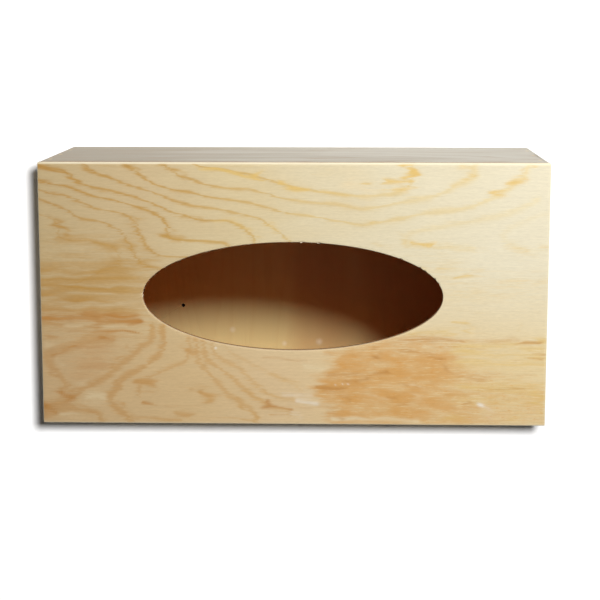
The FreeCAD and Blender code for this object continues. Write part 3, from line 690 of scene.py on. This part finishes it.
def make_cut_edge(name, axis, low, high, plies):
    """Sawn and sanded edges of plywood: the colours of its plies between low and high along an axis."""
    finish = Finish(name, specular=0.25)
    place = finish.place()
    depth = finish.math("ABSOLUTE", finish.split(place)[axis])
    wander = finish.noise(place, (0.12, 0.12, 0.12), detail=2)
    depth = finish.math("MULTIPLY_ADD", wander, 0.24, finish.math("SUBTRACT", depth, 0.12))
    share = finish.math("DIVIDE", finish.math("SUBTRACT", depth, low), high - low)
    stops = []
    line = 0.09 / (high - low)
    last = len(plies) - 1
    for number, ply in enumerate(plies):
        start, end = number / len(plies), (number + 1) / len(plies)
        wood = srgb(*ply)
        stops += [(start + line if number else 0.0, wood), (end - line if number < last else 1.0, wood)]
        if number < last:
            stops.append((end, srgb(*GLUE)))
    bands = finish.ramp(share, stops)
    fine = tuple(2.6 if number == axis else 0.5 for number in range(3))
    pores = finish.noise(place, (1.6, 1.6, 1.6), detail=4, roughness=0.7)
    fibre = finish.noise(place, fine, detail=3, roughness=0.6)
    tone = finish.math("MULTIPLY_ADD", pores, 0.22, finish.math("MULTIPLY_ADD", fibre, 0.2, 0.79))
    return finish.done(finish.shade(bands, tone), finish.spread(pores, 0.3, 0.7, 0.62, 0.78),
                       finish.math("ADD", pores, fibre), 0.08)


def make_brad_finish():
    """Bright-drawn wire, coated, a little dull."""
    finish = Finish("brad_wire", specular=0.5)
    finish.shader.inputs["Metallic"].default_value = 1.0
    place = finish.place()
    stain = finish.noise(place, (1.2, 1.2, 1.2), detail=4, roughness=0.6)
    drawn = finish.noise(place, (4.0, 0.4, 4.0), detail=2)
    colour = finish.ramp(stain, ((0.3, srgb(196, 182, 150)), (0.7, srgb(214, 204, 180))))
    return finish.done(colour, finish.spread(drawn, 0.3, 0.7, 0.32, 0.5), drawn, 0.03)


# Pieces


def add_object(name, data):
    """A new object in the scene."""
    thing = bpy.data.objects.new(name, data)
    bpy.context.scene.collection.objects.link(thing)
    return thing


def link_piece(name, mesh, body, slot, *nodes):
    """Makes a finished mesh a piece of the object that rides on a body and stands for CAD nodes."""
    piece = add_object(name, mesh)
    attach(piece, body)
    if nodes:
        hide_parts(*nodes)
    return piece


def smooth_by_angle(mesh):
    """Smooth shading with the sharper edges kept."""
    mesh.shade_smooth()
    mesh.set_sharp_from_angle(angle=math.radians(32))


def chip_depth(places):
    """How far the rim is broken away at each place on it."""
    depth = np.zeros(len(places))
    for x, y, half_width, deep in RIM_CHIPS:
        away = np.hypot(places[:, 0] - x, places[:, 1] - y)
        depth = np.maximum(depth, deep * np.clip(1.25 - away / half_width, 0, 1))
    return depth


def make_top_panel(face, cut_edge, underside):
    """The top: rings of points from the oval out over the face, round the arris and back underneath."""
    low, high = (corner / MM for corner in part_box("top_panel"))
    flat_low = np.array((low.x + ARRIS, low.y + ARRIS))
    flat_high = np.array((high.x - ARRIS, high.y - BACK_ARRIS))
    oval, flat, outward = [], [], []
    for step in range(STEPS_ROUND):
        angle = 2 * math.pi * (step + 0.5) / STEPS_ROUND - math.pi / 4 - math.pi / STEPS_ROUND
        c, s = math.cos(angle), math.sin(angle)
        reach = max(abs(c), abs(s))
        corner = step % (STEPS_ROUND // 4) == 0
        side = round(angle / (math.pi / 2)) * math.pi / 2
        turns = [side]
        if corner:
            side = math.floor(step / (STEPS_ROUND // 4)) * math.pi / 2
            turns = [side + math.pi / 2 * (number / (CORNER_STEPS - 1) - 1)
                     for number in range(CORNER_STEPS)]
        for turn in turns:
            oval.append((c, s))
            flat.append((c / reach, s / reach))
            outward.append((math.cos(turn) * ARRIS, math.sin(turn) * (BACK_ARRIS if s > 0 else ARRIS)))
    oval, outward = np.array(oval), np.array(outward)
    flat = (flat_low + flat_high) / 2 + np.array(flat) * (flat_high - flat_low) / 2
    drop = np.abs(outward).max(axis=1)
    rim = np.array(OVAL_MIDDLE) + oval * OVAL_HALF
    away = oval * OVAL_HALF[::-1]
    away /= np.hypot(*away.T)[:, None]
    chips = chip_depth(rim)[:, None]

    rings = []

    def ring(points, level, finish_number):
        rings.append((np.column_stack([points, np.broadcast_to(level, len(points))]), finish_number))

    rim_low = high.z - RIM_RADIUS
    ply_low = high.z - FACE_PLY
    for level in (low.z, low.z + 1.0, low.z + 2.0, ply_low):
        ring(rim, level, 1)
    ring(rim + away * chips * 0.5, ply_low + 0.05, 1)
    ring(rim + away * chips, rim_low, 1)
    for number in range(1, 4):
        turn = math.pi / 2 * number / 3
        back = RIM_RADIUS * (1 - math.cos(turn)) + chips
        ring(rim + away * back, rim_low + RIM_RADIUS * math.sin(turn), 0)
    inner = rim + away * (RIM_RADIUS + chips)
    for number in range(1, STEPS_ACROSS + 1):
        share = number / STEPS_ACROSS
        ring(inner + (flat - inner) * share, high.z, 0)
    for number in range(1, 6):
        turn = math.pi / 2 * number / 5
        ring(flat + outward * math.sin(turn), high.z - drop * (1 - math.cos(turn)), 0 if number < 5 else 1)
    edge = flat + outward
    ring(edge, low.z + 1.4, 1)
    ring(edge, low.z, 2)
    for number in (1, 2, 3):
        ring(edge + (rim - edge) * number / 4, low.z, 2)

    across = len(oval)
    points = np.concatenate([places for places, _ in rings]) * MM
    faces, finishes = [], []
    for number, (_, finish_number) in enumerate(rings):
        here, there = number * across, (number + 1) % len(rings) * across
        for step in range(across):
            after = (step + 1) % across
            faces.append((here + step, there + step, there + after, here + after))
            finishes.append(finish_number)
    mesh = bpy.data.meshes.new("top_panel_veneer")
    mesh.from_pydata(points.tolist(), [], faces)
    for material in (face, cut_edge, underside):
        mesh.materials.append(material)
    mesh.polygons.foreach_set("material_index", finishes)
    build = bmesh.new()
    build.from_mesh(mesh)
    bmesh.ops.remove_doubles(build, verts=build.verts, dist=1e-7)
    bmesh.ops.recalc_face_normals(build, faces=build.faces)
    build.to_mesh(mesh)
    build.free()
    smooth_by_angle(mesh)
    draw_figure(mesh)
    link_piece("top_board", mesh, "case", "top_plywood", "top_panel")


def make_rim_splinters(finish):
    """Torn fibres along the back and left of the rim: scattered by a node tree, the longer ones listed one
    by one.
    """
    tree = bpy.data.node_groups.new("rim_splinters", "GeometryNodeTree")
    sockets = {}
    for label, kind in (("Rim", "Geometry"), ("Count", "Int"), ("Share", "Float"), ("Length", "Float"),
                        ("Thickness", "Float"), ("Seed", "Int"), ("Finish", "Material")):
        sockets[label] = tree.interface.new_socket(label, in_out="INPUT", socket_type=f"NodeSocket{kind}")
    tree.interface.new_socket("Splinters", in_out="OUTPUT", socket_type="NodeSocketGeometry")
    given = tree.nodes.new("NodeGroupInput").outputs

    def step(kind, **links):
        node = tree.nodes.new(kind)
        for label, value in links.items():
            socket = node.inputs[label.replace("_", " ")]
            if isinstance(value, bpy.types.NodeSocket):
                tree.links.new(value, socket)
            else:
                socket.default_value = value
        return node

    curve = step("GeometryNodeMeshToCurve", Mesh=given["Rim"])
    spots = step("GeometryNodeCurveToPoints", Curve=curve.outputs["Curve"], Count=given["Count"])
    splinter = step("GeometryNodeMeshCone", Vertices=5, Radius_Top=0.0, Radius_Bottom=given["Thickness"],
                    Depth=given["Length"])
    turn, keep, size = (step("FunctionNodeRandomValue", Seed=given["Seed"]) for _ in range(3))
    turn.data_type = "FLOAT_VECTOR"
    turn.inputs[0].default_value = (0.0, 1.45, -0.6)
    turn.inputs[1].default_value = (0.0, 1.7, 0.6)
    keep.data_type = "BOOLEAN"
    tree.links.new(given["Share"], keep.inputs["Probability"])
    size.data_type = "FLOAT"
    size.inputs[2].default_value = 0.4
    size.inputs[3].default_value = 1.0
    heading = step("FunctionNodeEulerToRotation", Euler=turn.outputs[0])
    placed = step("GeometryNodeInstanceOnPoints", Points=spots.outputs["Points"],
                  Selection=keep.outputs[3], Instance=splinter.outputs["Mesh"],
                  Rotation=heading.outputs["Rotation"], Scale=size.outputs[1])
    whole = step("GeometryNodeRealizeInstances", Geometry=placed.outputs["Instances"])
    dressed = step("GeometryNodeSetMaterial", Geometry=whole.outputs["Geometry"], Material=given["Finish"])
    tree.links.new(dressed.outputs["Geometry"], tree.nodes.new("NodeGroupOutput").inputs["Splinters"])

    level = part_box("top_panel")[1].z - 0.35 * MM
    angles = np.radians(np.arange(15, 200, 2))
    rim = np.array(OVAL_MIDDLE) + np.column_stack([np.cos(angles), np.sin(angles)]) * OVAL_HALF
    line = bpy.data.meshes.new("rim_line")
    line.from_pydata([(x * MM, y * MM, level) for x, y in rim],
                     [(number, number + 1) for number in range(len(rim) - 1)], [])
    carrier = add_object("rim_line", line)
    scatter = carrier.modifiers.new("rim_splinters", "NODES")
    scatter.node_group = tree
    for label, value in (("Count", 260), ("Share", 0.5), ("Length", 1.0 * MM), ("Thickness", 0.09 * MM),
                         ("Seed", 4), ("Finish", finish)):
        scatter[sockets[label].identifier] = value
    ready = carrier.evaluated_get(bpy.context.evaluated_depsgraph_get())
    mesh = bpy.data.meshes.new_from_object(ready)
    mesh.name = "rim_splinters"
    carrier.modifiers.remove(scatter)
    bpy.data.objects.remove(carrier)

    build = bmesh.new()
    build.from_mesh(mesh)
    for x, y, heading, length in LONG_SPLINTERS:
        place = Matrix.Translation((x * MM, y * MM, level)) @ Matrix.Rotation(heading, 4, "Z")
        bmesh.ops.create_cone(build, cap_ends=True, segments=6, radius1=0.28 * MM, radius2=0.04 * MM,
                              depth=length * MM, matrix=place @ Matrix.Rotation(math.pi / 2, 4, "Y"))
    bmesh.ops.recalc_face_normals(build, faces=build.faces)
    build.to_mesh(mesh)
    build.free()
    mesh.materials.clear()
    mesh.materials.append(finish)
    link_piece("rim_splinters", mesh, "case", "top_plywood")


def make_board(node, name, body, slot, thickness_axis, face, cut_edge, inside):
    """A board: its CAD shape, long edges eased, with plies where it was sawn and its own veneer inside."""
    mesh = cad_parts[node].data.copy()
    mesh.name = name
    build = bmesh.new()
    build.from_mesh(mesh)
    bmesh.ops.remove_doubles(build, verts=build.verts, dist=1e-6)
    bmesh.ops.dissolve_limit(build, angle_limit=0.002, verts=build.verts, edges=build.edges)
    eased = build.edges.layers.float.new("bevel_weight_edge")
    for edge in build.edges:
        sharp = len(edge.link_faces) == 2 and edge.calc_face_angle(0) > math.radians(60)
        edge[eased] = 1.0 if sharp and edge.calc_length() > LONG_EDGE * MM else 0.0
    middle = sum(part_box(node), Vector()) / 2
    for polygon in build.faces:
        outward = polygon.normal[thickness_axis] * math.copysign(1, middle[thickness_axis])
        polygon.material_index = 0 if outward > 0.6 else 2 if outward < -0.6 else 1
        from_hole = (polygon.calc_center_median() / MM).xy - Vector(NAIL_HOLE)
        # The nail hole's faces get a dark colour: painted shade in the hole.
        if node == "sliding_bottom" and from_hole.length < NAIL_HOLE_RADIUS + 0.1:
            polygon.material_index = 3
    mesh.materials.clear()
    for material in (face, cut_edge, inside, hole_painted_shade):
        mesh.materials.append(material)
    build.to_mesh(mesh)
    build.free()
    smooth_by_angle(mesh)
    piece = link_piece(name, mesh, body, slot, node)
    ease = piece.modifiers.new("eased_edges", "BEVEL")
    ease.limit_method = "WEIGHT"
    ease.width = EASED * MM
    ease.segments = 2


top_veneer = make_figured_veneer()
# The back board is painted grey for the cool light on it, and paler towards +X for the light from that side.
back_veneer_cool_lit = make_plain_veneer("back_veneer_cool_lit", 0, COOL_LIT_PINE, 1, drift=0.0028, rings_show=0.6)
front_veneer = make_plain_veneer("front_veneer", 0, WARM_PINE, 7)
end_veneer = make_plain_veneer("end_veneer", 1, WARM_PINE, 2)
# The inside and underside veneers are reddened, partly painted shade, to give the shade inside the box its
# red-brown cast.
inner_veneer = make_plain_veneer("inner_veneer", 0, RED_INSIDE, 3)
under_veneer = make_plain_veneer("under_veneer", 0, RED_UNDERSIDE, 8)
# The bottom's darkening towards +X is painted shade, where the inside of the box lies in shade.
bottom_veneer = make_plain_veneer("bottom_veneer", 1, BOTTOM_PINE, 4, drift=-0.0045, rings_show=0.2,
                                  streaky=0.25, flecks=BOTTOM_FLECKS)
top_edge = make_cut_edge("top_cut_edge", 2, 106, 110, TOP_PLIES)
bottom_edge = make_cut_edge("bottom_cut_edge", 2, 5, 9, (LONG_PLY, CROSS_PLY, LONG_PLY))
five_plies = (LONG_PLY, CROSS_PLY, LONG_PLY, CROSS_PLY, LONG_PLY)
side_edge = make_cut_edge("side_cut_edge", 1, 61.25, 67.75, five_plies)
end_edge = make_cut_edge("end_cut_edge", 0, 123.5, 130, five_plies)
# Painted shade for the inside of the nail hole.
hole_painted_shade = make_plain_veneer("hole_painted_shade", 2, HOLE_SHADE, 5)
torn_fibre = make_plain_veneer("torn_fibre", 0, TORN_PINE, 6)
brad_wire = make_brad_finish()

make_top_panel(top_veneer, top_edge, under_veneer)
make_rim_splinters(torn_fibre)
for place, veneer in (("front", front_veneer), ("back", back_veneer_cool_lit)):
    make_board(f"{place}_side", f"{place}_board", "case", "side_plywood", 1,
               veneer, side_edge, inner_veneer)
for place in ("left", "right"):
    make_board(f"{place}_end", f"{place}_board", "case", "side_plywood", 0,
               end_veneer, end_edge, inner_veneer)
make_board("sliding_bottom", "bottom_board", "bottom", "bottom_plywood", 2,
           bottom_veneer, bottom_edge, bottom_veneer)
for corner in ("front_left", "front_right", "back_left", "back_right"):
    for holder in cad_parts[f"pins_{corner}"].material_slots:
        holder.material = brad_wire


# Floor, light and camera


def seen_rays(tree):
    """1 for rays that show a thing, straight or in metal or glass, 0 for rays that only carry its light."""
    path = tree.nodes.new("ShaderNodeLightPath")
    seen = path.outputs["Is Camera Ray"]
    for ray in ("Is Glossy Ray", "Is Transmission Ray"):
        larger = tree.nodes.new("ShaderNodeMath")
        larger.operation = "MAXIMUM"
        tree.links.new(seen, larger.inputs[0])
        tree.links.new(path.outputs[ray], larger.inputs[1])
        seen = larger.outputs["Value"]
    return seen


def make_floor():
    """White paper, large enough for any view. It looks white past the reach of its lamp too."""
    corners = [(x * PAPER_HALF, y * PAPER_HALF, 0) for x, y in ((-1, -1), (1, -1), (1, 1), (-1, 1))]
    mesh = bpy.data.meshes.new("floor")
    mesh.from_pydata(corners, [], [(0, 1, 2, 3)])
    finish = Finish("floor_paper", specular=0.0)
    finish.shader.inputs["Base Color"].default_value = (0.92, 0.92, 0.92, 1.0)
    finish.shader.inputs["Roughness"].default_value = 1.0
    lamp_foot = (PAPER_LAMP[0] / MM, PAPER_LAMP[1] / MM, 0)
    away = finish.vector("LENGTH", finish.vector("SUBTRACT", finish.place(), lamp_foot))
    far = finish.math("MULTIPLY", finish.spread(away, *PAPER_LIT), seen_rays(finish.tree))
    finish.feed(finish.shader.inputs["Emission Strength"], far)
    mesh.materials.append(finish.material)
    floor = add_object("floor", mesh)
    return floor


def reaches(lamp, thing, state):
    """Whether a lamp lights only one thing or everything but it."""
    group = bpy.data.collections.new(f"{lamp.name}_reach")
    group.objects.link(thing)
    group.collection_objects[0].light_linking.link_state = state
    lamp.light_linking.receiver_collection = group


def add_lamp(name, kind, target, towards, away, **settings):
    """A lamp that stands so far away from a target, in the direction given, and faces it."""
    data = bpy.data.lights.new(name, kind)
    for setting, value in settings.items():
        setattr(data, setting, value)
    lamp = add_object(name, data)
    direction = Vector(towards).normalized()
    lamp.location = Vector(target) + direction * away
    lamp.rotation_euler = direction.to_track_quat("Z", "Y").to_euler()
    return lamp


floor = make_floor()
# A lamp's level is about how bright it makes a level white surface at its target.
key_power = KEY_LEVEL * math.pi ** 2 * KEY_DISTANCE ** 2 / KEY_DIRECTION[2]
key = add_lamp("key", "AREA", KEY_TARGET, KEY_DIRECTION, KEY_DISTANCE, shape="DISK", size=KEY_WIDTH,
               energy=key_power)
reaches(key, floor, "EXCLUDE")
# The shadow on the paper is a narrow band of even width, so its lamp stands just beside the camera.
paper_power = PAPER_LAMP_LEVEL * 4 * math.pi ** 2 * PAPER_LAMP_DISTANCE ** 2
paper_lamp = add_lamp("table_lamp", "POINT", (0, 0, 0), PAPER_LAMP, PAPER_LAMP_DISTANCE,
                      shadow_soft_size=PAPER_LAMP_RADIUS, energy=paper_power)
reaches(paper_lamp, floor, "INCLUDE")

world = bpy.data.worlds.new("studio")
bpy.context.scene.world = world
world.use_nodes = True
nodes, links = world.node_tree.nodes, world.node_tree.links
sky = nodes["Background"]
sky.inputs["Color"].default_value = (1.0, 1.0, 1.0, 1.0)
sky_level = nodes.new("ShaderNodeMath")
sky_level.operation = "MAXIMUM"
sky_level.inputs[1].default_value = SKY_LEVEL
links.new(seen_rays(world.node_tree), sky_level.inputs[0])
links.new(sky_level.outputs["Value"], sky.inputs["Strength"])

camera = add_object("camera", bpy.data.cameras.new("camera"))
camera.data.lens = LENS
camera.data.sensor_width = FILM_WIDTH
camera.data.clip_start = 0.05
look = Vector(CAMERA_LOOK).normalized()
right = Vector(CAMERA_RIGHT)
right = (right - look * right.dot(look)).normalized()
up = right.cross(look)
camera.matrix_world = Matrix((
    (right.x, up.x, -look.x, CAMERA_PLACE[0] * MM),
    (right.y, up.y, -look.y, CAMERA_PLACE[1] * MM),
    (right.z, up.z, -look.z, CAMERA_PLACE[2] * MM),
    (0, 0, 0, 1),
))
bpy.context.scene.camera = camera
bpy.context.scene.view_settings.view_transform = "Standard"
